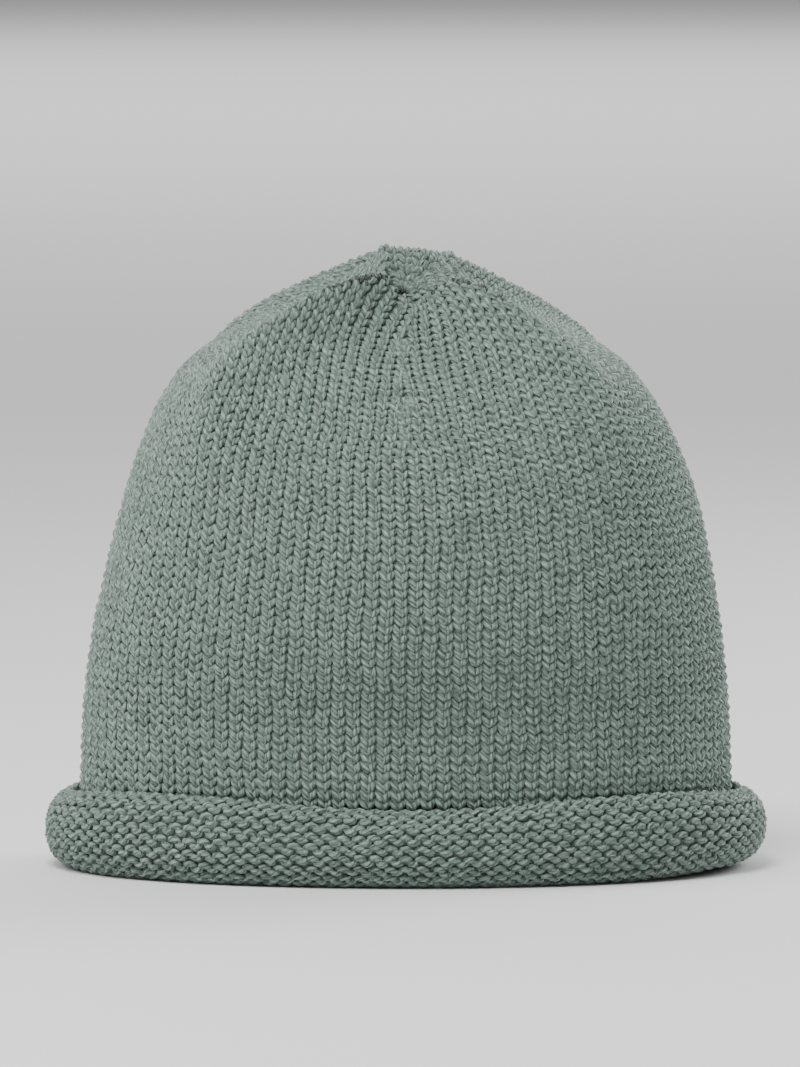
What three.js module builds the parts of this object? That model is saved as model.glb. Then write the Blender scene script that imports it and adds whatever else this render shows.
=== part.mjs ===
// Knitted wool hat: a dome of stocking stitch that closes at a gather on the
// upper front, and the same fabric curled outwards into a roll round the mouth.
// Millimetres, +Z up, the front faces -Y, the hat rests on its roll at Z = 0.

import * as THREE from "three";

// Fabric
const FABRIC_THICKNESS = 3.3; // knitted wall, yarn loops included
const JOIN_GAP = 0.3; // where the roll is modelled apart from the dome
const COLOUR = 0x8b9a93;

// Mesh density
const STEPS_ROUND = 64;
const DOME_RINGS = 22;

// Mouth of the dome, where the roll begins
const MOUTH_HEIGHT = 25.3;
const MOUTH_HALF_WIDTH = 104.0;
const MOUTH_HALF_DEPTH = 53.0;

// Dome: each row is one course of stitches, counted up from the mouth. It gives
// where that course passes at the front, at both sides and at the back, then
// how square its plan is (2 is an ellipse), how far the four soft folds stand
// out and the valleys between them sink, how much its right side is higher, and
// how far the two front folds are pulled up round the gather.
const DOME_COLUMNS = [
  "course", "frontY", "frontZ", "halfWidth", "sideZ",
  "backY", "backZ", "centreX", "square", "fold", "lean", "brow",
];
const DOME_ROWS = [
  [0.0, -53.0, 25.3, 104.0, 25.3, 53.0, 25.3, 0.0, 2.0, 0.0, 0.0, 0.0],
  [8.2, -54.4, 50.0, 103.0, 51.5, 57.0, 50.5, 0.0, 2.0, 0.0, 0.0, 0.0],
  [16.5, -60.6, 75.0, 99.8, 78.5, 60.5, 76.0, 0.4, 2.02, 0.0, 0.0, 0.0],
  [23.1, -61.2, 95.0, 95.5, 100.5, 62.0, 97.0, 1.1, 2.06, 0.0, 0.0, 0.0],
  [28.8, -59.4, 112.0, 91.6, 119.5, 61.7, 115.5, 1.4, 2.12, 0.5, 0.0, 0.0],
  [33.9, -56.3, 127.0, 87.6, 136.3, 59.6, 132.0, 0.9, 2.22, 1.7, 0.0, 0.0],
  [39.1, -50.6, 141.3, 82.4, 151.3, 55.0, 148.3, 0.3, 2.32, 3.1, 0.0, 0.0],
  [44.2, -43.2, 154.6, 72.6, 164.6, 47.2, 163.6, -0.4, 2.36, 3.9, 0.0, 1.5],
  [48.8, -34.2, 165.2, 53.4, 174.2, 36.7, 177.2, -1.0, 2.28, 3.8, 0.2, 5.5],
  [52.0, -26.0, 173.1, 30.8, 182.4, 24.3, 187.6, 0.2, 2.12, 2.9, 0.0, 10.0],
  [54.2, -19.6, 178.6, 17.4, 187.8, 12.9, 194.5, 2.4, 2.1, 1.3, -1.0, 8.6],
  [55.6, -15.8, 181.7, 12.2, 191.1, 3.6, 197.0, 3.4, 2.04, 0.6, -1.5, 4.2],
  [56.5, -13.4, 183.0, 7.0, 188.4, -4.6, 191.8, 1.0, 2.02, 0.2, -0.8, 1.0],
  [57.0, -11.4, 183.2, 0.0, 183.2, -11.4, 183.2, -1.5, 2.0, 0.0, 0.0, 0.0],
];
const GATHER_COURSE = 57.0; // every wale ends here
const LAST_RING_COURSE = 56.3; // the last full ring before the gather point
const FOLD_NARROWNESS = 0.4; // smaller for sharper ridges
const FOLD_RISE = 0.5; // share of a fold that shows as height
const FOLD_SPREAD = 0.6; // share of the mean radius that a fold is scaled by
const FOLD_MIN_RADIUS = 6.0;

// Roll: the middle of the fabric along its curl, at one place on the mouth.
// "out" is measured outwards from the dome's outer face, "up" from the surface
// that the hat rests on. The curl starts under the dome and ends inside itself.
// "swell" is the share of the roll's extra height that each place takes.
const CURL_COLUMNS = ["out", "up", "swell"];
const CURL_ROWS = [
  [-FABRIC_THICKNESS / 2, MOUTH_HEIGHT - JOIN_GAP, 0],
  [-2.1, 21.9, 0],
  [-4.7, 17.8, 0],
  [-6.8, 13.2, 0],
  [-6.7, 8.2, 0],
  [-4.6, 4.0, 0],
  [-1.2, 1.65, 0],
  [3.4, 1.65, 0],
  [7.0, 4.0, 0],
  [9.2, 8.4, 0.1],
  [9.45, 13.3, 0.35],
  [8.5, 18.0, 0.7],
  [5.8, 21.5, 1],
  [3.0, 22.4, 1],
  [1.95, 19.8, 0.9],
  [0.3, 16.4, 0.7],
  [-1.7, 13.2, 0.5],
  [-2.5, 9.6, 0.35],
  [-0.6, 6.7, 0.2],
  [2.4, 7.2, 0.2],
];
const CURL_FLAT_INNER = -2.4; // the flat underside, across the roll
const CURL_FLAT_OUTER = 4.6;
const CURL_SPLIT_SPAN = 4.95; // rows further apart than this get a step between them

// The roll stands this much higher between the middle of each side and its ends
const ROLL_SWELL = 3.0;

// The right end of the roll is pulled up a little, off the surface
const RIGHT_LIFT = 2.2;
const RIGHT_LIFT_START = 0.62; // share of the half width where the lift begins

function rowObjects(rows, columns) {
  return rows.map((row) =>
    Object.fromEntries(columns.map((name, i) => [name, row[i]])));
}

// Slopes of a smooth curve through unevenly spaced values
function slopes(at, value) {
  const n = at.length;
  const step = [];
  const rise = [];
  for (let i = 0; i < n - 1; i += 1) {
    step.push(at[i + 1] - at[i]);
    rise.push((value[i + 1] - value[i]) / step[i]);
  }
  const slope = new Array(n).fill(0);
  for (let i = 1; i < n - 1; i += 1) {
    const before = step[i - 1];
    const after = step[i];
    slope[i] = (rise[i - 1] * after + rise[i] * before) / (before + after);
  }
  slope[0] = rise[0];
  slope[n - 1] = 1.5 * rise[n - 2] - 0.5 * slope[n - 2];
  return slope;
}

// A cubic through a table's columns, read at any place along its first one
function tableCurve(rows, places, names) {
  const slope = {};
  for (const name of names) {
    slope[name] = slopes(places, rows.map((row) => row[name]));
  }
  return (place) => {
    let i = 0;
    while (i < places.length - 2 && place >= places[i + 1]) {
      i += 1;
    }
    const span = places[i + 1] - places[i];
    const t = (place - places[i]) / span;
    const t2 = t * t;
    const t3 = t2 * t;
    const result = {};
    for (const name of names) {
      const a = rows[i][name];
      const b = rows[i + 1][name];
      const startPull = (t3 - 2 * t2 + t) * span * slope[name][i];
      const endPull = (t3 - t2) * span * slope[name][i + 1];
      result[name] = (2 * t3 - 3 * t2 + 1) * a + (3 * t2 - 2 * t3) * b + startPull + endPull;
    }
    return result;
  };
}

const domeRows = rowObjects(DOME_ROWS, DOME_COLUMNS);
const domeAt = tableCurve(domeRows, domeRows.map((row) => row.course), DOME_COLUMNS.slice(1));

function signedPower(value, power) {
  return Math.sign(value) * Math.abs(value) ** power;
}

// Height of the four folds round a course, from 0 in a valley to 1 on a ridge
function foldCrest(angle) {
  const narrow = FOLD_NARROWNESS ** 2;
  const ridge = narrow / (narrow + Math.cos(2 * angle) ** 2);
  const valley = narrow / (narrow + 1);
  return (ridge - valley) / (1 - valley);
}

// Outer face of the dome. The turn is 0 at the front, a quarter at the right,
// and the folds are left out where "folded" is 0.
function domePoint(turn, course, folded = 1) {
  const row = domeAt(course);
  const angle = 2 * Math.PI * turn;
  const power = 2 / row.square;
  const across = signedPower(Math.sin(angle), power);
  const along = signedPower(Math.cos(angle), power);
  const middleY = (row.frontY + row.backY) / 2;
  const halfDepth = (row.backY - row.frontY) / 2;
  const crest = foldCrest(angle);
  const fold = folded * row.fold * (2 * crest - 1);
  const brow = folded * row.brow * crest * (1 + Math.cos(angle)) / 2;
  const meanRadius = Math.hypot(row.halfWidth, halfDepth);
  const swell = 1 + fold / Math.max(meanRadius * FOLD_SPREAD, FOLD_MIN_RADIUS);
  const level = (row.frontZ + row.backZ + 2 * row.sideZ) / 4;
  const frontToBack = (row.frontZ - row.backZ) / 2;
  const endsToSides = (row.frontZ + row.backZ - 2 * row.sideZ) / 4;
  return new THREE.Vector3(
    row.centreX + row.halfWidth * across * swell,
    middleY - halfDepth * along * swell,
    level + frontToBack * Math.cos(angle) + endsToSides * Math.cos(2 * angle)
      + FOLD_RISE * fold + row.lean * Math.sin(angle) + brow,
  );
}

// Outward direction of the dome without its folds, from points a little to each
// side. The wall follows it, so both faces keep the same folds.
function domeNormal(turn, course) {
  const reach = 0.35;
  const turnReach = 0.004;
  const low = Math.max(course - reach, 0);
  const high = Math.min(course + reach, LAST_RING_COURSE);
  const round = domePoint(turn + turnReach, course, 0);
  round.sub(domePoint(turn - turnReach, course, 0));
  const up = domePoint(turn, high, 0).sub(domePoint(turn, low, 0));
  return round.cross(up).normalize();
}

// Closed mesh from rings of points; every ring joins the next one, and the
// last ring joins the first unless a pole closes each end.
function closedMesh(name, rings, poles) {
  const count = rings[0].length;
  const points = rings.flat();
  const faces = [];
  const joins = poles ? rings.length - 1 : rings.length;
  for (let i = 0; i < joins; i += 1) {
    const low = i * count;
    const high = ((i + 1) % rings.length) * count;
    for (let j = 0; j < count; j += 1) {
      const k = (j + 1) % count;
      faces.push(low + j, low + k, high + k);
      faces.push(low + j, high + k, high + j);
    }
  }
  if (poles) {
    const first = points.push(poles[0]) - 1;
    const last = points.push(poles[1]) - 1;
    const top = (rings.length - 1) * count;
    for (let j = 0; j < count; j += 1) {
      const k = (j + 1) % count;
      faces.push(first, k, j);
      faces.push(last, top + j, top + k);
    }
  }
  const geometry = new THREE.BufferGeometry();
  const flat = points.flatMap((point) => [point.x, point.y, point.z]);
  geometry.setAttribute("position", new THREE.Float32BufferAttribute(flat, 3));
  geometry.setIndex(faces);
  geometry.computeVertexNormals();
  const material = new THREE.MeshStandardMaterial({ color: COLOUR, roughness: 0.95 });
  const mesh = new THREE.Mesh(geometry, material);
  mesh.name = name;
  return mesh;
}

function ringOf(makePoint) {
  return Array.from({ length: STEPS_ROUND }, (_, j) => makePoint(j / STEPS_ROUND));
}

// Courses of the dome's rings: even lower down, closer where the top curves
function domeCourses() {
  return Array.from({ length: DOME_RINGS }, (_, i) => {
    const share = i / (DOME_RINGS - 1);
    return LAST_RING_COURSE * (1 - (1 - share) ** 1.35);
  });
}

function makeDome() {
  const courses = domeCourses();
  const outer = courses.map((course) => ringOf((turn) => domePoint(turn, course)));
  const inner = courses.map((course) => ringOf((turn) => {
    const point = domePoint(turn, course);
    const inward = domeNormal(turn, course).multiplyScalar(-FABRIC_THICKNESS);
    if (course === 0) {
      inward.z = 0;
    }
    return point.add(inward);
  }));
  const outerPole = domePoint(0, GATHER_COURSE);
  const innerPole = new THREE.Vector3();
  for (const point of inner[inner.length - 1]) {
    innerPole.add(point);
  }
  innerPole.divideScalar(STEPS_ROUND);
  const rings = [...inner.reverse(), ...outer];
  return closedMesh("crown", rings, [innerPole, outerPole]);
}

const curlRows = rowObjects(CURL_ROWS, CURL_COLUMNS);

// Distance along the curl at each of its rows
function curlPlaces() {
  const places = [0];
  for (let i = 1; i < curlRows.length; i += 1) {
    const out = curlRows[i].out - curlRows[i - 1].out;
    const up = curlRows[i].up - curlRows[i - 1].up;
    places.push(places[i - 1] + Math.hypot(out, up));
  }
  return places;
}

const curlAt = tableCurve(curlRows, curlPlaces(), CURL_COLUMNS);
const CURL_LENGTH = curlPlaces()[curlRows.length - 1];

// Places along the curl that get a ring: each row, and halfway over long spans
function curlSteps() {
  const places = curlPlaces();
  return places.flatMap((place, i) => {
    const next = places[i + 1] ?? place;
    return next - place > CURL_SPLIT_SPAN ? [place, (place + next) / 2] : [place];
  });
}

// Both faces of the curled fabric: the outer face of the curl first, then back
// along the other one. The underside is pressed flat where the hat rests.
function curlProfile() {
  const near = [];
  const far = [];
  const reach = 0.4;
  for (const place of curlSteps()) {
    const before = curlAt(Math.max(place - reach, 0));
    const after = curlAt(Math.min(place + reach, CURL_LENGTH));
    const middle = curlAt(place);
    const out = after.out - before.out;
    const up = after.up - before.up;
    const half = FABRIC_THICKNESS / 2 / Math.hypot(out, up);
    const level = place === 0 ? 0 : 1;
    const swell = middle.swell;
    near.push({ out: middle.out - up * half, up: middle.up + out * half * level, swell });
    far.push({ out: middle.out + up * half, up: middle.up - out * half * level, swell });
  }
  const outline = [...far, ...near.reverse()];
  return outline.map((point) => {
    const resting = point.out > CURL_FLAT_INNER && point.out < CURL_FLAT_OUTER && point.up < 1;
    return { ...point, up: resting ? 0 : Math.max(point.up, 0) };
  });
}

// One point of the roll: out along the mouth's own outward direction
function rollPoint(turn, { out, up, swell }) {
  const angle = 2 * Math.PI * turn;
  const sine = Math.sin(angle);
  const cosine = Math.cos(angle);
  const facing = new THREE.Vector3(sine / MOUTH_HALF_WIDTH, -cosine / MOUTH_HALF_DEPTH, 0);
  facing.normalize();
  const share = (sine - RIGHT_LIFT_START) / (1 - RIGHT_LIFT_START);
  const eased = share > 0 ? share * share * (3 - 2 * share) : 0;
  const lift = RIGHT_LIFT * eased * (1 - up / MOUTH_HEIGHT);
  const rise = ROLL_SWELL * swell * Math.sin(2 * angle) ** 2;
  return new THREE.Vector3(
    MOUTH_HALF_WIDTH * sine + out * facing.x,
    -MOUTH_HALF_DEPTH * cosine + out * facing.y,
    up + lift + rise,
  );
}

function makeRoll() {
  const profile = curlProfile();
  const rings = profile.map((point) => ringOf((turn) => rollPoint(turn, point)));
  return closedMesh("rolled_brim", rings, null);
}

const group = new THREE.Group();
group.name = "knitted_hat";
group.add(makeDome());
group.add(makeRoll());

export default group;
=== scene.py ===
from math import cos, pi, radians, sin

import bpy
import numpy as np
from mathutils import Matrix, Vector


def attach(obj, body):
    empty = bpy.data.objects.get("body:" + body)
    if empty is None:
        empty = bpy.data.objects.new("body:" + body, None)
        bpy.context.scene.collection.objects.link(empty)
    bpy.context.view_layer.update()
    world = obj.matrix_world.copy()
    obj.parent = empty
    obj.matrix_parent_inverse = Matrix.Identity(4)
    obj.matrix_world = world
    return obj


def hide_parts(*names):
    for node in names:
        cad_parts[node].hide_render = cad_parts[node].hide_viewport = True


bl_info = {
    "name": "Knitted Hat",
    "version": (1, 0, 0),
    "blender": (4, 5, 0),
    "location": "3D View > Sidebar > Knitted Hat",
    "description": "Knits a wool hat stitch by stitch over its packed solids",
    "category": "Add Mesh",
}

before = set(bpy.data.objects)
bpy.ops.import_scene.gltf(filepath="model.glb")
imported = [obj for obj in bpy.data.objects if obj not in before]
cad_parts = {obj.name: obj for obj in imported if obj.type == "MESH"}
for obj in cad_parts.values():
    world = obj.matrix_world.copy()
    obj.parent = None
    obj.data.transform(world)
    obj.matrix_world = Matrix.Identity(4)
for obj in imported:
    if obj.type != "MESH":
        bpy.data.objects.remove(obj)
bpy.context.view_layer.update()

MM = 0.001
TINY = 1e-9  # keeps a direction that has no length from dividing by nothing

# Fabric, in millimetres, as the solids have it
FABRIC_THICKNESS = 3.3
MOUTH_HEIGHT = 25.3
MOUTH_HALF_WIDTH = 104.0
MOUTH_HALF_DEPTH = 53.0
RIGHT_LIFT = 2.2  # how far the right end of the roll is off the surface
RIGHT_LIFT_START = 0.62  # sine of the angle where the lift starts
FOLD_NARROWNESS = 0.4  # a smaller one makes the ridges sharper
FOLD_RISE = 0.5  # share of a fold that lifts the fabric as well
FOLD_SPREAD = 0.6  # radius that the folds are measured against, as a share of the section's diagonal
FOLD_MIN_RADIUS = 6.0

# Dome, one row for each section: place up the fabric, front y, front z, half width, side z,
# back y, back z, centre x, squareness, fold, lean, brow
DOME_ROWS = np.array(
    [
        [0.0, -53.0, 25.3, 104.0, 25.3, 53.0, 25.3, 0.0, 2.0, 0.0, 0.0, 0.0],
        [8.2, -54.4, 50.0, 103.0, 51.5, 57.0, 50.5, 0.0, 2.0, 0.0, 0.0, 0.0],
        [16.5, -60.6, 75.0, 99.8, 78.5, 60.5, 76.0, 0.4, 2.02, 0.0, 0.0, 0.0],
        [23.1, -61.2, 95.0, 95.5, 100.5, 62.0, 97.0, 1.1, 2.06, 0.0, 0.0, 0.0],
        [28.8, -59.4, 112.0, 91.6, 119.5, 61.7, 115.5, 1.4, 2.12, 0.5, 0.0, 0.0],
        [33.9, -56.3, 127.0, 87.6, 136.3, 59.6, 132.0, 0.9, 2.22, 1.7, 0.0, 0.0],
        [39.1, -50.6, 141.3, 82.4, 151.3, 55.0, 148.3, 0.3, 2.32, 3.1, 0.0, 0.0],
        [44.2, -43.2, 154.6, 72.6, 164.6, 47.2, 163.6, -0.4, 2.36, 3.9, 0.0, 1.5],
        [48.8, -34.2, 165.2, 53.4, 174.2, 36.7, 177.2, -1.0, 2.28, 3.8, 0.2, 5.5],
        [52.0, -26.0, 173.1, 30.8, 182.4, 24.3, 187.6, 0.2, 2.12, 2.9, 0.0, 10.0],
        [54.2, -19.6, 178.6, 17.4, 187.8, 12.9, 194.5, 2.4, 2.1, 1.3, -1.0, 8.6],
        [55.6, -15.8, 181.7, 12.2, 191.1, 3.6, 197.0, 3.4, 2.04, 0.6, -1.5, 4.2],
        [56.5, -13.4, 183.0, 7.0, 188.4, -4.6, 191.8, 1.0, 2.02, 0.2, -0.8, 1.0],
        [57.0, -11.4, 183.2, 0.0, 183.2, -11.4, 183.2, -1.5, 2.0, 0.0, 0.0, 0.0],
    ]
)
GATHER_PLACE = DOME_ROWS[-1, 0]
DOME_ANGLES = 241  # lines up the dome on which the courses are spaced
DOME_PLACES = 572  # points on each of those lines

# Curl of the roll: distance out from the dome's face, height, share of the swell. The roll's
# top lies a little closer to the dome than in the solid, so that no dark gap shows there from
# the camera.
ROLL_SWELL = 3.0  # extra height between the middle of each side and its ends
CURL_ROWS = np.array(
    [
        [-1.65, 25.0, 0.0],
        [-2.1, 21.9, 0.0],
        [-4.7, 17.8, 0.0],
        [-6.8, 13.2, 0.0],
        [-6.7, 8.2, 0.0],
        [-4.6, 4.0, 0.0],
        [-1.2, 1.65, 0.0],
        [3.4, 1.65, 0.0],
        [7.0, 4.0, 0.0],
        [9.2, 8.4, 0.1],
        [9.45, 13.3, 0.35],
        [8.5, 18.0, 0.7],
        [5.3, 22.0, 1.0],
        [2.3, 22.9, 1.0],
        [1.3, 20.0, 0.9],
        [0.3, 16.4, 0.7],
        [-1.7, 13.2, 0.5],
        [-2.5, 9.6, 0.35],
        [-0.6, 6.7, 0.2],
        [2.4, 7.2, 0.2],
    ]
)

# Courses, counted up from the mouth, and down from it into the roll as negative numbers
COURSES = 66  # from the mouth to the gather
COURSE_HEIGHT = 3.05
COURSE_EASING = 1.5  # how late their spacing changes
ROLL_COURSES = 20
ROLL_COURSE_HEIGHT = 3.1
ROLL_START = 0.3  # millimetres by which the roll's rows are moved along the curl to the mouth
DOME_LOOPS_START = -4  # course from which up the loops are the dome's, inside its edge
GRID_ROWS_PER_COURSE = 5
GRID_COLUMNS = 480
GRID_EDGE = 0.001  # keeps the last place inside the grid

# Panels between the front line, the two side lines and the back line
PANELS = 4
PANEL_KINDS = np.array([0, 1, 1, 0])  # from the front round, 0 is a front panel and 1 a back panel
WALES_PER_PANEL = 27
SIDE_SHIFT = radians(40.0)  # how far back the side lines run at the top
SIDE_SHIFT_START = 45  # course
SIDE_SHIFT_END = 66  # course
FIRST_DECREASE = 29.0  # course
FRONT_DECREASES = 3.2  # stitches that end on each side of the front line
CROWN_CROWDING = 0.14  # share by which stitches are closer side by side halfway up the crown
LEAST_ROOM = 1.6  # stitches in a panel at the gather
EDGE_SHARE = 0.15  # a stitch with a smaller share of it inside its panel is left out

# Columns, yarn and painted shade towards the gather
RIB_START = 44  # course above which the columns stand out as ribs
RIB_DEPTH = 0.55  # millimetres that a rib stands out, and its valleys sink, at the gather
RIB_SHADE = 0.9  # how much more painted shade darkens the valleys there
GATHER_SHADE = 1.05  # how much painted shade darkens all of the crowded stitches there
GATHER_CALM = 0.5  # share by which the stitches are more even there
SQUEEZE_START = 59  # course
GATHER_SQUEEZE = 0.1  # share by which the yarn is squeezed thinner at the gather

# Yarn
STEPS_PER_STITCH = 12
STEP_EASING = 0.18  # how far the steps of a stitch are shifted, as the sine of twice their angle
YARN_SIDES = 5
YARN_STARTS = 50.0  # millimetres within which each course's run starts by chance
RUN_UNIT = 10.0  # millimetres of yarn to one unit of its map
CELL_SIDE_MARGIN = 0.04  # share of a stitch's cell in the map that is left free at each side
CELL_END_MARGIN = 0.06  # and at its foot and head
CELL_SHAPE = 1.5  # how many times fewer columns of cells there are than in a square

# Standard deviations of the differences between stitches: spread, height and radius as shares
# of the loop's own, along in stitches, up, tilt and skew in courses, and out in millimetres
DIFFERENCES = {
    "spread": 0.08,
    "height": 0.05,
    "along": 0.04,
    "up": 0.05,
    "tilt": 0.05,
    "skew": 0.03,
    "out": 0.08,
    "radius": 0.06,
}

# Slow waves through the whole fabric: waves in a full round, and waves for each course up
SLOW_WAVES = ((3, 0.05), (7, 0.11), (13, 0.07), (22, 0.19))
WAVE_ROUND = 0.0011  # how far they move the yarn round, as a share of a full round
WAVE_UP = 0.14  # how far they move it up, in courses
WAVE_UP_PACE = 1.3  # how much faster the waves that move it up change from course to course

# Seeds: the slow waves have the first one, and each band has one further on by its first course
SEED = 7
BAND_SEED_STEP = 101
BAND_SEED_START = 40  # added to the course, which may be below 0

# Bands of courses that are one mesh each: mesh name, solid it stands for, first and last course
BANDS = (
    ("roll_knit_inner", "rolled_brim", -19, -10),
    ("roll_knit_outer", "rolled_brim", -9, -1),
    ("side_knit_lower", "crown", 0, 14),
    ("side_knit_upper", "crown", 15, 29),
    ("crown_knit_lower", "crown", 30, 44),
    ("crown_knit_top", "crown", 45, 65),
)

# Sheet inside each solid that closes the gaps between the stitches, coloured dark as painted shade:
# mesh name, first and last course, and how far it lies towards the knit face
CORES = {
    "crown": ("dome_core", 0, 66, 0.1),
    "rolled_brim": ("roll_core", -19, 0, 0.0),
}
CORE_STEP = 6  # grid rows and columns to one face
CORE_THICKNESS = 0.5
CORE_LOWEST = 0.2  # height above the surface

# Wool of each solid: material name, strength of its bump, and how light it is painted: the roll is
# the same wool, painted darker as shade on its purl side
WOOLS = {
    "crown": ("sage_wool_knit", 0.9, 1.0),
    "rolled_brim": ("sage_wool_roll", 0.8, 0.88),
}

# What makes the wool lighter and darker: the share of each thing's own value, and what is added to
# that. The first three rows paint shade and highlight into the colour: the yarn is lighter where it
# stands out and on its top, and darker where it lies behind, on its underside, in the grooves between
# its strands, in the valleys and at the gather. The stitch's tone and the fibres are the wool's own colour.
WOOL_TONE_AND_SHADE = {
    "reach": (0.26, 0.92),
    "side": (0.32, 0.8),
    "strand": (0.65, 0.42),
    "stitch": (0.05, 1.0),
    "fibre": (1.3, 0.35),
}

# What the wool's bump is made of, and the share of each
WOOL_BUMPS = {"strand": 0.8, "streak": 0.15, "fibre": 0.25}
BUMP_DEPTH = 0.45  # millimetres
STRAND_ROUNDNESS = 0.6  # power that fattens a strand's sine

# Share of light fibres: this much of the streaks' value, and what is added to that
STREAK_CONTRAST = 2.4
STREAK_BASE = -0.7

# Share of heather: this much of the stitch's tone, this much of the patches, and what is added
HEATHER_BY_STITCH = 0.12
HEATHER_BY_PATCH = 0.5
HEATHER_BASE = 0.05

# Studio, in metres
FLOOR_REACH = 40.0
HAT_MIDDLE = (0.0, 0.0, 0.1)
CAMERA_DISTANCE = 2.4
SENSOR_HEIGHT = 36.0  # millimetres
VIEW_HEIGHT = 0.3414  # what the picture's height takes in at the hat
AIM_ACROSS = -0.0019
AIM_UP = 0.1058

# Lights: name, place, target, size and the setting that holds the power
LIGHTS = (
    ("key_left", (-1.25, -0.35, 0.95), HAT_MIDDLE, 0.8, "key"),
    ("edge_right", (1.2, 0.7, 0.8), HAT_MIDDLE, 0.8, "edge"),
    ("backdrop", (0.0, 8.0, 4.5), (0.0, 8.0, 0.0), 9.0, "backdrop"),
    ("top_front", (-0.32, -0.82, 1.52), HAT_MIDDLE, 0.7, "top"),
)


def table_curve(places, values, at):
    """Cubic through the values at uneven places, with each slope a weighted mean of its two neighbours."""
    step = np.diff(places)
    rise = np.diff(values, axis=0) / step[:, None]
    slope = np.zeros_like(values)
    before = step[:-1, None]
    after = step[1:, None]
    slope[1:-1] = (rise[:-1] * after + rise[1:] * before) / (before + after)
    slope[0] = rise[0]
    slope[-1] = 1.5 * rise[-1] - 0.5 * slope[-2]
    i = np.clip(np.searchsorted(places, at, side="right") - 1, 0, len(step) - 1)
    t = ((at - places[i]) / step[i])[..., None]
    span = step[i][..., None]
    t2 = t * t
    t3 = t2 * t
    start = (2 * t3 - 3 * t2 + 1) * values[i] + (t3 - 2 * t2 + t) * span * slope[i]
    end = (3 * t2 - 2 * t3) * values[i + 1] + (t3 - t2) * span * slope[i + 1]
    return start + end


def signed_power(value, power):
    """The value's size raised to a power, with its sign kept."""
    return np.sign(value) * np.abs(value) ** power


def eased_share(value, start, end):
    """Share of the way from start to end, eased: three times its square less twice its cube."""
    share = np.clip((value - start) / (end - start), 0, 1)
    return share * share * (3 - 2 * share)


def dome_point(angle, place):
    """Outer face of the dome: a squared oval whose front, sides and back each follow the table, swollen
    by four folds, sharper on their ridges than in their valleys. Its height runs from front to back as a
    cosine, and out to the sides as a cosine of twice the angle. The brow lifts the two front folds."""
    row = np.moveaxis(table_curve(DOME_ROWS[:, 0], DOME_ROWS[:, 1:], place), -1, 0)
    front_y, front_z, half_width, side_z, back_y, back_z, centre_x, square, fold, lean, brow = row
    across = signed_power(np.sin(angle), 2 / square)
    along = signed_power(np.cos(angle), 2 / square)
    half_depth = (back_y - front_y) / 2
    ridge = FOLD_NARROWNESS**2 / (FOLD_NARROWNESS**2 + np.cos(2 * angle) ** 2)
    valley = FOLD_NARROWNESS**2 / (FOLD_NARROWNESS**2 + 1)
    crest = (ridge - valley) / (1 - valley)
    wave = fold * (2 * crest - 1)
    brows = brow * crest * (1 + np.cos(angle)) / 2
    swell = 1 + wave / np.maximum(np.hypot(half_width, half_depth) * FOLD_SPREAD, FOLD_MIN_RADIUS)
    x = centre_x + half_width * across * swell
    y = (front_y + back_y) / 2 - half_depth * along * swell
    level = (front_z + back_z + 2 * side_z) / 4
    tilt = (front_z - back_z) / 2 * np.cos(angle)
    ends = (front_z + back_z - 2 * side_z) / 4 * np.cos(2 * angle)
    z = level + tilt + ends + FOLD_RISE * wave + lean * np.sin(angle) + brows
    return np.stack([x, y, z], -1)


def roll_point(angle, place):
    """Middle of the curled fabric: the curl's table read along its length, set out from the mouth's oval
    along the oval's own outward direction, lifted a little at the right, and higher where the square of
    the sine of twice the angle is large."""
    steps = np.hypot(*np.diff(CURL_ROWS[:, :2], axis=0).T)
    places = np.concatenate([[0], np.cumsum(steps)])
    out, up, swell = np.moveaxis(table_curve(places, CURL_ROWS, place), -1, 0)
    sine = np.sin(angle)
    cosine = np.cos(angle)
    facing = np.stack([sine / MOUTH_HALF_WIDTH, -cosine / MOUTH_HALF_DEPTH])
    facing /= np.linalg.norm(facing, axis=0)
    lift = RIGHT_LIFT * eased_share(sine, RIGHT_LIFT_START, 1) * (1 - up / MOUTH_HEIGHT)
    x = MOUTH_HALF_WIDTH * sine + out * facing[0]
    y = -MOUTH_HALF_DEPTH * cosine + out * facing[1]
    return np.stack([x, y, up + lift + ROLL_SWELL * swell * np.sin(2 * angle) ** 2], -1)


def length_along(points, axis):
    """Running length of the lines of a grid along one of its axes, from 0."""
    steps = np.linalg.norm(np.diff(points, axis=axis), axis=-1)
    pad = [(0, 0), (0, 0)]
    pad[axis] = (1, 0)
    return np.cumsum(np.pad(steps, pad), axis=axis)


def panel_turns(points, angles, side):
    """Angles that divide each panel of one row of the grid into equal lengths of fabric. The side lines
    are at the angle given for the right one, and at its mirror image."""
    run = np.concatenate([[0], np.cumsum(np.linalg.norm(np.diff(points, axis=0), axis=-1))])
    edges = np.interp([0, side, pi, 2 * pi - side, 2 * pi], angles, run)
    columns = np.linspace(0, PANELS, GRID_COLUMNS + 1)
    return np.interp(np.interp(columns, np.arange(PANELS + 1), edges), run, angles)


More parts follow.
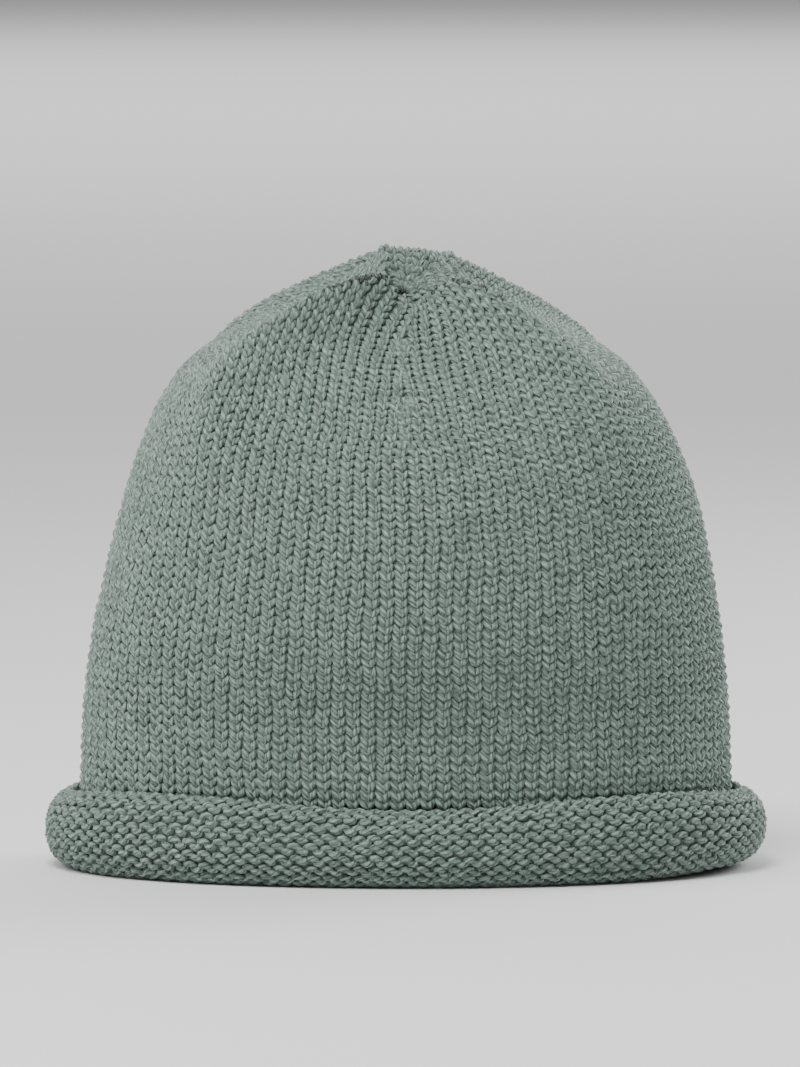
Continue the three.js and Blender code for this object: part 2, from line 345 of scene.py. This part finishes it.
def dome_grid():
    """Outer face of the dome on a grid of courses up and equal panel shares round, after the angles of
    its points. The courses are a course height apart at the mouth, and open or close as a power of their
    number to meet at the gather. Near the top the two side lines run back."""
    angles = np.linspace(0, 2 * pi, DOME_ANGLES)
    places = np.linspace(0, GATHER_PLACE, DOME_PLACES)
    lines = dome_point(angles[None, :] + 0 * places[:, None], places[:, None] + 0 * angles)
    run = length_along(lines, 0)
    courses = np.arange(0, COURSES * GRID_ROWS_PER_COURSE) / GRID_ROWS_PER_COURSE
    spare = run[-1] - COURSES * COURSE_HEIGHT
    wanted = courses[:, None] * COURSE_HEIGHT + spare * (courses[:, None] / COURSES) ** COURSE_EASING
    level = np.stack([np.interp(wanted[:, i], run[:, i], places) for i in range(len(angles))], 1)
    rows = dome_point(angles[None, :] + 0 * level, level)
    sides = pi / 2 + SIDE_SHIFT * eased_share(courses, SIDE_SHIFT_START, SIDE_SHIFT_END)
    turns = np.stack([panel_turns(row, angles, side) for row, side in zip(rows, sides)])
    level = np.stack([np.interp(turn, angles, row) for turn, row in zip(turns, level)])
    return turns, dome_point(turns, level)


def grid_normals(points):
    """Direction out of the knit face: across the row, crossed with up the column."""
    across = np.gradient(points, axis=1)
    across[:, 0] = across[:, -1] = points[:, 1] - points[:, -2]
    normal = np.cross(across, np.gradient(points, axis=0))
    return normal / np.maximum(np.linalg.norm(normal, axis=-1, keepdims=True), TINY)


def fabric_grid():
    """Middle of the whole fabric as one grid, from the end of the curl up through the mouth to the
    gather, and its directions out of the knit face. The dome's is half a thickness in from its face."""
    turns, dome = dome_grid()
    dome = dome - grid_normals(dome) * (FABRIC_THICKNESS / 2)
    steps = np.arange(ROLL_COURSES * GRID_ROWS_PER_COURSE, 0, -1) / GRID_ROWS_PER_COURSE
    place = steps * ROLL_COURSE_HEIGHT - ROLL_START
    roll = roll_point(turns[:1] + 0 * place[:, None], place[:, None] + 0 * turns[:1])
    points = np.concatenate([roll, dome])
    return points, grid_normals(points)


def read_grid(grid, course, turn):
    """Value of the grid between its points, blended along both of its directions."""
    row = np.clip((course + ROLL_COURSES) * GRID_ROWS_PER_COURSE, 0, len(grid) - 1 - GRID_EDGE)
    column = np.mod(turn, 1.0) * GRID_COLUMNS
    i = row.astype(int)
    j = np.minimum(column.astype(int), GRID_COLUMNS - 1)
    a = (row - i)[..., None]
    b = (column - j)[..., None]
    low = grid[i, j] * (1 - b) + grid[i, j + 1] * b
    high = grid[i + 1, j] * (1 - b) + grid[i + 1, j + 1] * b
    return low * (1 - a) + high * a


def panel_room(points):
    """Stitches that fit across a front and a back panel at every grid row: all of them up to the first
    decrease. Above it their number goes with the panel's length, and they crowd a little as half a sine."""
    run = length_along(points, 1)
    quarter = GRID_COLUMNS // PANELS
    back = (run[:, -1 - quarter] - run[:, quarter]) / 2
    lengths = np.stack([run[:, -1] / 2 - back, back])
    first = int((ROLL_COURSES + FIRST_DECREASE) * GRID_ROWS_PER_COURSE)
    share = np.clip((np.arange(len(run)) - first) / (len(run) - first), 0, 1)
    crowding = 1 + CROWN_CROWDING * np.sin(pi * share)
    room = WALES_PER_PANEL * lengths / lengths[:, first : first + 1] * crowding
    room[:, :first] = WALES_PER_PANEL
    return np.maximum(np.minimum.accumulate(room, axis=1), LEAST_ROOM)


def panel_edges(course, room):
    """Where a panel's stitches start at its front or back line, and where they end at its side line. A few
    of them end on the front and back lines, where the columns lean in, and the rest on the side lines."""
    fit = np.interp(course, np.arange(len(room)) / GRID_ROWS_PER_COURSE - ROLL_COURSES, room)
    lost = WALES_PER_PANEL - fit
    share = np.clip((course - FIRST_DECREASE) / (COURSES - FIRST_DECREASE), 0, 1)
    start = np.minimum(lost / 2, FRONT_DECREASES * share**2)
    return start, start + fit


def course_stitches(number, room):
    """Every stitch of a course: its panel, its place in stitches from the panel's front or back line, and
    whether the panel is mirrored, so that its places count up to that line and are below 0."""
    start, end = np.array([panel_edges(float(number), kind) for kind in room]).T
    first = np.floor(start + EDGE_SHARE).astype(int)[PANEL_KINDS]
    counts = np.maximum(np.ceil(end - EDGE_SHARE).astype(int)[PANEL_KINDS] - first, 1)
    panel = np.repeat(np.arange(PANELS), counts)
    index = np.arange(len(panel)) - np.repeat(np.cumsum(counts) - counts, counts)
    mirrored = panel % 2 == 1
    index = np.where(mirrored, index - counts[panel] - first[panel], index + first[panel]) + 0.5
    return panel, index, mirrored


def stitch_turn(panel, place, mirrored, course, room):
    """Share of a full round for a place in a panel: how far it is from edge to edge at that course."""
    front, back = (panel_edges(course, kind) for kind in room)
    start, end = np.where(PANEL_KINDS[panel] == 0, front, back)
    share = np.where(mirrored, place + end, place - start) / (end - start)
    return (panel + share) / PANELS


def slow_waves(turn, course, rng):
    """Unevenness of hand-steamed knitting: the mean of a few slow waves round and up the fabric."""
    total = 0
    for round_waves, up_waves in SLOW_WAVES:
        shift = rng.uniform(0, 2 * pi)
        total = total + np.sin(2 * pi * (round_waves * turn + up_waves * course) + shift)
    return total / len(SLOW_WAVES)


def course_yarn(number, grid, normals, room, size, rng):
    """Centre line of one course, the direction of its side that shows, the yarn's radius, a tone for each
    stitch and a painted shade along the yarn. Each stitch runs from foot to foot over its head, t from
    minus to plus half a turn. Along is t plus a share of sin 2t, drawn in over its top, up is cos t, and
    out is minus cos 2t, so its two legs stand out on the knit face and its head and feet on the purl face.
    Towards the gather its middle stands out and its sides sink, as the cosine of its place across. The
    painted shade is lighter where the yarn stands out on the side that shows and darker where it lies
    behind. It changes across each stitch as the valley times cos t, and darkens all stitches near the
    gather."""
    loop = size.roll if number < DOME_LOOPS_START else size.dome
    panel, index, mirrored = course_stitches(number, room)
    total = len(panel)
    panel, index, mirrored = (np.repeat(item, STEPS_PER_STITCH) for item in (panel, index, mirrored))
    where = np.arange(total * STEPS_PER_STITCH) / STEPS_PER_STITCH - 0.5
    t = (np.arange(STEPS_PER_STITCH) / STEPS_PER_STITCH * 2 - 1) * pi
    t = np.tile(t - STEP_EASING * np.sin(2 * t), total)
    ribbing = np.clip((number - RIB_START) / (COURSES - RIB_START), 0, 1)
    squeezing = np.clip((number - SQUEEZE_START) / (COURSES - SQUEEZE_START), 0, 1)
    drawn = 1 - GATHER_SQUEEZE * squeezing
    unevenness = size.unevenness * (1 - GATHER_CALM * ribbing)

    def uneven(kind):
        values = rng.normal(0, DIFFERENCES[kind] * unevenness, total)
        return np.interp(where, np.arange(total), values, period=total)

    spread = loop.spread * (1 + uneven("spread"))
    rise = loop.height * (1 + uneven("height"))
    narrowing = loop.narrowing * np.sin(t) * (1 + np.cos(t)) / 2
    along = (t + spread * np.sin(2 * t)) / (2 * pi) - narrowing + uneven("along")
    up = rise * np.cos(t) + uneven("up") + uneven("tilt") * np.sin(t)
    up = up + (loop.skew + uneven("skew")) * np.sin(2 * t)
    course = number + up
    turn = stitch_turn(panel, index + along, mirrored, course, room)
    slow = np.random.default_rng(SEED)
    turn = turn + WAVE_ROUND * slow_waves(turn, course, slow)
    course = course + WAVE_UP * slow_waves(turn, course * WAVE_UP_PACE, slow)
    face = read_grid(normals, course, turn)
    face /= np.linalg.norm(face, axis=-1, keepdims=True)
    rib = RIB_DEPTH * ribbing * np.cos(2 * pi * along)
    out = rib - loop.depth * drawn * np.cos(2 * t) + uneven("out")
    thick = loop.yarn_radius * drawn * (1 + uneven("radius")) * (1 - loop.leg_fullness * np.cos(2 * t))
    line = read_grid(grid, course, turn) + face * out[:, None]
    line[:, 2] = np.maximum(line[:, 2], thick)
    shown = -1 if number < 0 else 1
    # painted shade across each stitch, stronger in the valleys of the ribs towards the gather
    valley = (loop.valley + RIB_SHADE * ribbing) * np.cos(t)
    # painted shade: lighter where the yarn stands out on the side that shows, darker where it lies behind,
    # and darker all over near the gather
    reach = -np.cos(2 * t) * shown - valley - GATHER_SHADE * ribbing**2
    return line, face * shown, thick, rng.normal(0, 1, total), reach


def tube_rings(line, face, thick):
    """Rings of points round a closed centre line, squared to it, with the side that shows as their top."""
    ahead = np.roll(line, -1, axis=0) - np.roll(line, 1, axis=0)
    ahead /= np.linalg.norm(ahead, axis=-1, keepdims=True)
    side = np.cross(ahead, face)
    side /= np.linalg.norm(side, axis=-1, keepdims=True)
    top = np.cross(side, ahead)
    turn = np.arange(YARN_SIDES) / YARN_SIDES * 2 * pi
    ring = side[:, None] * np.cos(turn)[:, None] + top[:, None] * np.sin(turn)[:, None]
    return line[:, None] + ring * thick[:, None, None]


def closed_faces(rows, columns):
    """Corners of the faces of a grid of points that closes on itself both ways."""
    i = np.arange(rows)[:, None]
    j = np.arange(columns)[None, :]
    i2 = (i + 1) % rows
    j2 = (j + 1) % columns
    corners = [i * columns + j, i * columns + j2, i2 * columns + j2, i2 * columns + j]
    return np.stack(corners, -1).reshape(-1, 4)


def quad_mesh(name, points, corners, maps=(), attributes=()):
    """A smooth mesh of four-cornered faces from points in millimetres, with its maps and attributes."""
    mesh = bpy.data.meshes.new(name)
    mesh.vertices.add(len(points))
    mesh.vertices.foreach_set("co", (points * MM).ravel())
    mesh.loops.add(corners.size)
    mesh.loops.foreach_set("vertex_index", corners.ravel())
    mesh.polygons.add(len(corners))
    mesh.polygons.foreach_set("loop_start", np.arange(0, corners.size, 4))
    mesh.polygons.foreach_set("use_smooth", np.ones(len(corners), dtype=bool))
    for label, values in maps:
        layer = mesh.uv_layers.new(name=label)
        layer.data.foreach_set("uv", values.astype(np.float32).ravel())
    for label, kind, values in attributes:
        layer = mesh.attributes.new(label, "FLOAT", kind)
        layer.data.foreach_set("value", values.astype(np.float32))
    mesh.update()
    mesh.validate()
    return mesh


def stitch_cells(faces, low, high):
    """Map that gives each stitch its own cell, with its steps across the cell and the yarn's turn up it,
    inside a margin."""
    cell = np.arange(faces) // (STEPS_PER_STITCH * YARN_SIDES)
    step = np.arange(faces) // YARN_SIDES % STEPS_PER_STITCH
    columns = int(np.ceil((cell[-1] + 1) ** 0.5 / CELL_SHAPE))
    rows = int(np.ceil((cell[-1] + 1) / columns))

    def inside(share, margin):
        return margin + (1 - 2 * margin) * share

    left = (cell % columns + inside(step / STEPS_PER_STITCH, CELL_SIDE_MARGIN)) / columns
    right = (cell % columns + inside((step + 1) / STEPS_PER_STITCH, CELL_SIDE_MARGIN)) / columns
    foot = (cell // columns + inside(low, CELL_END_MARGIN)) / rows
    head = (cell // columns + inside(high, CELL_END_MARGIN)) / rows
    return np.stack([left, foot, left, head, right, head, right, foot], -1)


def yarn_mesh(name, numbers, grid, normals, room, size):
    """One mesh of closed yarn tubes, one for each course, with a map of the yarn's own turn and run, a
    map that gives each stitch its own cell, a tone for each stitch, and a painted shade for each place of
    the yarn: about -1 where it lies behind and 1 where it stands out on the side that shows, with the
    painted shade of the valleys and of the gather added."""
    rng = np.random.default_rng(SEED + BAND_SEED_STEP * (numbers[0] + BAND_SEED_START))
    points = []
    corners = []
    runs = []
    tones = []
    painted_shades = []
    base = 0
    for number in numbers:
        line, face, thick, tone, reach = course_yarn(number, grid, normals, room, size, rng)
        corners.append(closed_faces(len(line), YARN_SIDES) + base)
        base += len(line) * YARN_SIDES
        step = np.linalg.norm(np.roll(line, -1, axis=0) - line, axis=-1)
        run = np.concatenate([[0], np.cumsum(step)]) + rng.uniform(0, YARN_STARTS)
        runs.append(np.stack([np.repeat(run[:-1], YARN_SIDES), np.repeat(run[1:], YARN_SIDES)], -1))
        tones.append(np.repeat(tone, STEPS_PER_STITCH * YARN_SIDES))
        # painted shade at each step of the yarn, the same all round it
        painted_shades.append(np.repeat(reach, YARN_SIDES))
        points.append(tube_rings(line, face, thick).reshape(-1, 3))
    corners = np.concatenate(corners)
    side = np.tile(np.arange(YARN_SIDES), len(corners) // YARN_SIDES)
    low = side / YARN_SIDES
    high = (side + 1) / YARN_SIDES
    start, end = np.concatenate(runs).T / RUN_UNIT
    own = np.stack([low, start, high, start, high, end, low, end], -1)
    maps = (("OFBake", stitch_cells(len(corners), low, high)), ("yarn", own))
    attributes = (("tone", "FACE", np.concatenate(tones)), ("reach", "POINT", np.concatenate(painted_shades)))
    return quad_mesh(name, np.concatenate(points), corners, maps, attributes)


def core_sheet(name, first, last, grid, normals, shift):
    """A closed thin sheet between the loops that follows the middle of the fabric, and shows painted shade
    down between the stitches.
    """
    rows = (np.array([first, last]) + ROLL_COURSES) * GRID_ROWS_PER_COURSE
    rows = np.arange(rows[0], min(rows[1], len(grid) - 2), CORE_STEP)
    sheet = grid[rows, :-1:CORE_STEP]
    face = normals[rows, :-1:CORE_STEP]
    far, near = (sheet + face * (shift + side * CORE_THICKNESS / 2) for side in (-1, 1))
    points = np.concatenate([near, far[::-1]])
    points[..., 2] = np.maximum(points[..., 2], CORE_LOWEST)
    return quad_mesh(name, points.reshape(-1, 3), closed_faces(*points.shape[:2]))


def join(tree, slot, item):
    """Links a value to a socket, or sets the socket to a plain number or colour."""
    if isinstance(item, Value):
        tree.links.new(item.socket, slot)
    else:
        slot.default_value = item


def maths(tree, kind, *items):
    """One Math node over values and plain numbers."""
    node = tree.nodes.new("ShaderNodeMath")
    node.operation = kind
    for slot, item in zip(node.inputs, items):
        join(tree, slot, item)
    return Value(tree, node.outputs[0])


class Value:
    """A node's output that adds, multiplies and so on through Math nodes."""

    def __init__(self, tree, socket):
        self.tree = tree
        self.socket = socket

    def __add__(self, other):
        return maths(self.tree, "ADD", self, other)

    def __sub__(self, other):
        return maths(self.tree, "SUBTRACT", self, other)

    def __rsub__(self, other):
        return maths(self.tree, "SUBTRACT", other, self)

    def __mul__(self, other):
        return maths(self.tree, "MULTIPLY", self, other)

    def __pow__(self, other):
        return maths(self.tree, "POWER", self, other)

    def __rpow__(self, other):
        return maths(self.tree, "POWER", other, self)

    def __abs__(self):
        return maths(self.tree, "ABSOLUTE", self)

    __radd__ = __add__
    __rmul__ = __mul__

    def sine(self):
        """Sine of the value as an angle."""
        return maths(self.tree, "SINE", self)

    def within_one(self):
        """The value, but at least 0 and at most 1."""
        return maths(self.tree, "MINIMUM", maths(self.tree, "MAXIMUM", self, 0.0), 1.0)


class Finish:
    """A material and its node tree, with one method that adds any node."""

    def __init__(self, name):
        self.material = bpy.data.materials.new(name)
        self.material.use_nodes = True
        self.tree = self.material.node_tree
        self.tree.nodes.clear()

    def add(self, kind, output=0, settings=None, **inputs):
        """Any node: its settings first, then its sockets, by name or as an i and their number."""
        node = self.tree.nodes.new("ShaderNode" + kind)
        for key, value in (settings or {}).items():
            setattr(node, key, value)
        for key, item in inputs.items():
            numbered = key[0] == "i" and key[1:].isdigit()
            join(self.tree, node.inputs[int(key[1:]) if numbered else key.replace("_", " ")], item)
        return Value(self.tree, node.outputs[output])

    def mix(self, factor, first, second, kind="MIX"):
        """Two colours mixed. Sockets 0, 6 and 7 of a Mix node are its factor and its colours, and its
        output 2 is the mixed colour."""
        settings = {"data_type": "RGBA", "blend_type": kind}
        return self.add("Mix", 2, settings, i0=factor, i6=first, i7=second)

    def strand_noise(self, phase, run, across, along, scale, detail):
        """Noise drawn out along the strands, read at a share of the phase and a share of the run."""
        place = self.add("CombineXYZ", X=phase * across, Y=run * along)
        flat = {"noise_dimensions": "2D"}
        return self.add("TexNoise", settings=flat, Vector=place, Scale=scale, Detail=detail)

    def done(self, **inputs):
        """The material, ended in one Principled shader with these sockets."""
        shader = self.add("BsdfPrincipled", **inputs)
        end = self.tree.nodes.new("ShaderNodeOutputMaterial")
        self.tree.links.new(shader.socket, end.inputs["Surface"])
        return self.material


def wool_finish(name, bump, painted_brightness, colours):
    """Plied wool. A strand's phase is the yarn's turn times the number of strands, less its run over the
    pitch, and its height is a power of the sine of that. Painted shade darkens the valleys between the
    strands, streaks run along the fibres, and each stitch has a tone of its own. The shade is the product
    of all its parts: painted shade and highlight from the yarn's depth, its top and its strands, and the
    wool's own tone from the stitch and the fibres."""
    finish = Finish(name)
    turn = finish.add("SeparateXYZ", Vector=finish.add("UVMap", settings={"uv_map": "yarn"}))
    run = Value(finish.tree, turn.socket.node.outputs["Y"])
    phase = turn * colours.strands - run * (RUN_UNIT * colours.strands / colours.twist_pitch)
    parts = {
        # the strands' height, for the bump, and painted shade in the grooves between the strands
        "strand": abs((phase * pi).sine()) ** STRAND_ROUNDNESS,
        "streak": finish.strand_noise(phase, run, across=0.55, along=0.9, scale=4.0, detail=3.0),
        "fibre": finish.strand_noise(phase, run, across=0.9, along=2.2, scale=5.0, detail=2.0),
        "stitch": finish.add("Attribute", "Fac", {"attribute_name": "tone"}),
        # painted shade of the yarn: darker where it lies behind, lighter where it stands out
        "reach": finish.add("Attribute", "Fac", {"attribute_name": "reach"}),
        # painted shade and highlight: the yarn is lighter on its top, towards the side that shows, and
        # darker on its underside
        "side": (turn * (2 * pi)).sine(),
    }
    patches = finish.add("TexNoise", Vector=finish.add("TexCoord", "Object"), Scale=38.0, Detail=2.0)
    light = (parts["streak"] * STREAK_CONTRAST + STREAK_BASE).within_one()
    body = finish.mix(light, tuple(colours.dark), tuple(colours.light))
    green = parts["stitch"] * HEATHER_BY_STITCH + patches * HEATHER_BY_PATCH + HEATHER_BASE
    body = finish.mix(green.within_one(), body, tuple(colours.heather))
    # starts from how light each solid's wool is painted: the roll's is painted shade, darker than the
    # dome's
    shade = painted_brightness
    # painted shade and highlight times the wool's own tone
    for key, (share, added) in WOOL_TONE_AND_SHADE.items():
        shade = shade * (parts[key] * share + added)
    grey = finish.add("CombineColor", Red=shade, Green=shade, Blue=shade)
    height = sum(parts[key] * share for key, share in WOOL_BUMPS.items())
    return finish.done(
        Base_Color=finish.mix(1.0, body, grey, "MULTIPLY"),
        Normal=finish.add("Bump", Height=height, Strength=bump, Distance=BUMP_DEPTH * MM),
        Roughness=0.9,
        Specular_IOR_Level=0.25,
        Sheen_Weight=colours.sheen,
        Sheen_Roughness=0.45,
        Sheen_Tint=(0.85, 0.95, 0.9, 1.0),
    )


def core_finish(name, colours):
    """Dark matt colour, painted shade for the sheet seen down between the stitches."""
    return Finish(name + "_wool").done(Base_Color=tuple(colours.core), Roughness=0.95)


def stage_finish(name, colour):
    """Plain matt paper with the faintest grain."""
    finish = Finish(name)
    grain = finish.add("TexNoise", Vector=finish.add("TexCoord", "Object"), Scale=60.0)
    tint = finish.mix(grain * 0.02, tuple(colour), (0.8, 0.8, 0.8, 1.0))
    return finish.done(Base_Color=tint, Roughness=0.9)


def place_mesh(name, mesh, material):
    """Puts a mesh into the scene at the origin with its material."""
    mesh.materials.append(material)
    item = bpy.data.objects.new(name, mesh)
    bpy.context.scene.collection.objects.link(item)
    return item


def tie(item, solid):
    """Hangs a piece under the root body, and hides the solid that it stands for."""
    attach(item, "root")
    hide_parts(solid)


def knit(solid, scene):
    """Knits every band that stands for one solid, and adds the sheet of painted shade inside it."""
    grid, normals = fabric_grid()
    room = panel_room(grid)
    wool = wool_finish(*WOOLS[solid], scene.wool_colours)
    for name, stands_for, first, last in BANDS:
        if stands_for == solid:
            mesh = yarn_mesh(name, range(first, last + 1), grid, normals, room, scene.knit_sizes)
            tie(place_mesh(name, mesh, wool), solid)
    name, first, last, shift = CORES[solid]
    mesh = core_sheet(name, first, last, grid, normals, shift)
    tie(place_mesh(name, mesh, core_finish(name, scene.wool_colours)), solid)


def set_roll_loops(loop):
    """The roll shows the purl side, so its heads and feet are the fuller part of each loop."""
    loop.spread = 1.35
    loop.narrowing = 0.0
    loop.valley = 0.0
    loop.height = 0.76
    loop.depth = 0.85
    loop.yarn_radius = 1.13
    loop.leg_fullness = -0.1
    loop.skew = 0.02


def area_light(name, place, target, size, power):
    """A square soft light at a place, turned to a target."""
    data = bpy.data.lights.new(name, "AREA")
    data.size = size
    data.energy = power
    item = bpy.data.objects.new(name, data)
    item.location = place
    item.rotation_euler = (Vector(target) - Vector(place)).to_track_quat("-Z", "Y").to_euler()
    bpy.context.scene.collection.objects.link(item)


def white_surround(strength):
    """A world of even white light."""
    world = bpy.data.worlds.new("white_surround")
    world.use_nodes = True
    surround = world.node_tree.nodes["Background"]
    surround.inputs["Color"].default_value = (1.0, 1.0, 1.0, 1.0)
    surround.inputs["Strength"].default_value = strength
    return world


def front_camera(elevation):
    """A camera with a long lens, in front of the hat and a little above the floor. It aims at a point that
    is up the picture from the origin and a little to the left."""
    data = bpy.data.cameras.new("camera")
    data.sensor_fit = "VERTICAL"
    data.sensor_height = SENSOR_HEIGHT
    data.lens = SENSOR_HEIGHT * CAMERA_DISTANCE / VIEW_HEIGHT
    camera = bpy.data.objects.new("camera", data)
    up = Vector((0.0, sin(elevation), cos(elevation)))
    aim = up * AIM_UP + Vector((AIM_ACROSS, 0.0, 0.0))
    camera.location = aim + Vector((0.0, -cos(elevation), sin(elevation))) * CAMERA_DISTANCE
    camera.rotation_euler = (aim - camera.location).to_track_quat("-Z", "Y").to_euler()
    bpy.context.scene.collection.objects.link(camera)
    return camera


class LoopShape(bpy.types.PropertyGroup):
    """Shape of one stitch's loop."""

    spread: bpy.props.FloatProperty(
        name="Spread",
        description="How far the heads and feet of a stitch widen",
        default=2.0,
        min=0.5,
        max=3.0,
    )
    height: bpy.props.FloatProperty(
        name="Height",
        description="Half height of a stitch, in courses",
        default=0.77,
        min=0.5,
        max=1.2,
    )
    depth: bpy.props.FloatProperty(
        name="Depth",
        description="How far legs and heads stand off the middle, in millimetres",
        default=1.0,
        max=2.0,
    )
    yarn_radius: bpy.props.FloatProperty(
        name="Yarn radius",
        description="Radius of the plied yarn, in millimetres",
        default=1.02,
        min=0.4,
        max=2.0,
    )
    narrowing: bpy.props.FloatProperty(
        name="Narrowing",
        description="How far the top of a stitch is drawn in, in stitches",
        default=0.065,
    )
    # painted shade: how much darker it is painted between columns than inside a stitch
    valley: bpy.props.FloatProperty(
        name="Valley",
        description="How much darker it is between columns than inside a stitch",
        default=0.7,
    )
    skew: bpy.props.FloatProperty(
        name="Skew",
        description="How far the yarn's twist tips each stitch over, in courses",
        default=0.0,
    )
    leg_fullness: bpy.props.FloatProperty(
        name="Leg fullness",
        description="Share by which the legs are fuller than heads and feet",
        default=0.16,
    )


class KnitSizes(bpy.types.PropertyGroup):
    """Loops of the dome and of the roll, and how uneven they are."""

    dome: bpy.props.PointerProperty(
        name="Dome loops",
        description="Loops of the side wall and the crown",
        type=LoopShape,
    )
    roll: bpy.props.PointerProperty(
        name="Roll loops",
        description="Loops of the rolled edge",
        type=LoopShape,
    )
    unevenness: bpy.props.FloatProperty(
        name="Unevenness",
        description="Scales the differences between stitches",
        default=0.88,
        min=0.0,
        max=3.0,
    )


class WoolColours(bpy.types.PropertyGroup):
    """Colours and twist of the wool."""

    light: bpy.props.FloatVectorProperty(
        name="Light fibres",
        description="Colour of the lighter fibres",
        default=(0.28, 0.355, 0.316, 1.0),
        size=4,
        subtype="COLOR",
    )
    dark: bpy.props.FloatVectorProperty(
        name="Dark fibres",
        description="Colour of the darker fibres",
        default=(0.08, 0.108, 0.095, 1.0),
        size=4,
        subtype="COLOR",
    )
    heather: bpy.props.FloatVectorProperty(
        name="Heather",
        description="Greener colour blended into some stitches",
        default=(0.14, 0.2, 0.17, 1.0),
        size=4,
        subtype="COLOR",
    )
    # painted shade: colour of the sheet seen down between the stitches
    core: bpy.props.FloatVectorProperty(
        name="Core",
        description="Colour down between the stitches",
        default=(0.13, 0.168, 0.149, 1.0),
        size=4,
        subtype="COLOR",
    )
    strands: bpy.props.IntProperty(
        name="Strands",
        description="Strands plied into the yarn",
        default=4,
        min=2,
        max=8,
    )
    twist_pitch: bpy.props.FloatProperty(
        name="Twist pitch",
        description="Length of one full turn of a strand, in millimetres",
        default=9.5,
        min=2.0,
        max=30.0,
    )
    sheen: bpy.props.FloatProperty(
        name="Sheen",
        description="Soft edge light of the loose fibres",
        default=0.32,
        min=0.0,
        max=1.0,
        subtype="FACTOR",
    )


class StudioSettings(bpy.types.PropertyGroup):
    """Floor colour, camera angle and light strength."""

    floor: bpy.props.FloatVectorProperty(
        name="Floor",
        description="Colour of the floor",
        default=(0.8, 0.8, 0.8, 1.0),
        size=4,
        subtype="COLOR",
    )
    elevation: bpy.props.FloatProperty(
        name="Camera elevation",
        description="Camera height above the horizon",
        default=radians(5.0),
        subtype="ANGLE",
    )
    key: bpy.props.FloatProperty(
        name="Key light",
        description="Power of the light at the left",
        default=12.0,
        unit="POWER",
    )
    top: bpy.props.FloatProperty(
        name="Top light",
        description="Power of the light above the front, the strongest on the hat",
        default=27.5,
        unit="POWER",
    )
    edge: bpy.props.FloatProperty(
        name="Edge light",
        description="Power of the light at the right",
        default=18.0,
        unit="POWER",
    )
    backdrop: bpy.props.FloatProperty(
        name="Backdrop",
        description="Power of the light on the floor behind",
        default=520.0,
        unit="POWER",
    )
    surround: bpy.props.FloatProperty(
        name="Surround",
        description="Strength of the white surround",
        default=0.3,
        min=0.0,
    )


class SetStudio(bpy.types.Operator):
    """Adds the pale floor, the soft lights and the camera."""

    bl_idname = "knitted_hat.studio"
    bl_label = "Set Studio"

    def execute(self, context):
        studio = context.scene.studio_settings
        mesh = bpy.data.meshes.new("studio_floor")
        corners = ((-1, -1, 0), (1, -1, 0), (1, 1, 0), (-1, 1, 0))
        mesh.from_pydata([Vector(corner) * FLOOR_REACH for corner in corners], [], [(0, 1, 2, 3)])
        place_mesh("studio_floor", mesh, stage_finish("pale_floor", studio.floor))
        context.scene.world = white_surround(studio.surround)
        for name, place, target, size, setting in LIGHTS:
            area_light(name, place, target, size, getattr(studio, setting))
        context.scene.camera = front_camera(studio.elevation)
        return {"FINISHED"}


class KnitDome(bpy.types.Operator):
    """Knits the side wall and the crown up to the gather."""

    bl_idname = "knitted_hat.dome"
    bl_label = "Knit Dome"

    def execute(self, context):
        knit("crown", context.scene)
        return {"FINISHED"}


class KnitRoll(bpy.types.Operator):
    """Knits the curled edge, purl side out."""

    bl_idname = "knitted_hat.roll"
    bl_label = "Knit Rolled Edge"

    def execute(self, context):
        knit("rolled_brim", context.scene)
        return {"FINISHED"}


class HatPanel(bpy.types.Panel):
    """Lists the hat's sizes, colours and steps."""

    bl_idname = "VIEW3D_PT_knitted_hat"
    bl_label = "Knitted Hat"
    bl_space_type = "VIEW_3D"
    bl_region_type = "UI"
    bl_category = "Knitted Hat"

    def draw(self, context):
        scene = context.scene
        sizes = scene.knit_sizes
        for group in (sizes, sizes.dome, sizes.roll, scene.wool_colours, scene.studio_settings):
            box = self.layout.box()
            for setting in group.bl_rna.properties:
                if setting.type != "POINTER" and setting.identifier != "name":
                    box.prop(group, setting.identifier)
        for step in STEPS:
            self.layout.operator(step.bl_idname)


STEPS = (SetStudio, KnitDome, KnitRoll)
CLASSES = (LoopShape, KnitSizes, WoolColours, StudioSettings, *STEPS, HatPanel)


def register():
    """Adds the classes and the scene's settings."""
    for item in CLASSES:
        bpy.utils.register_class(item)
    bpy.types.Scene.knit_sizes = bpy.props.PointerProperty(type=KnitSizes)
    bpy.types.Scene.wool_colours = bpy.props.PointerProperty(type=WoolColours)
    bpy.types.Scene.studio_settings = bpy.props.PointerProperty(type=StudioSettings)


def unregister():
    """Takes the settings and the classes away again."""
    del bpy.types.Scene.studio_settings
    del bpy.types.Scene.wool_colours
    del bpy.types.Scene.knit_sizes
    for item in reversed(CLASSES):
        bpy.utils.unregister_class(item)


def main():
    """Builds the stage and the hat."""
    register()
    set_roll_loops(bpy.context.scene.knit_sizes.roll)
    bpy.ops.knitted_hat.studio()
    bpy.ops.knitted_hat.dome()
    bpy.ops.knitted_hat.roll()


if __name__ == "__main__":
    main()
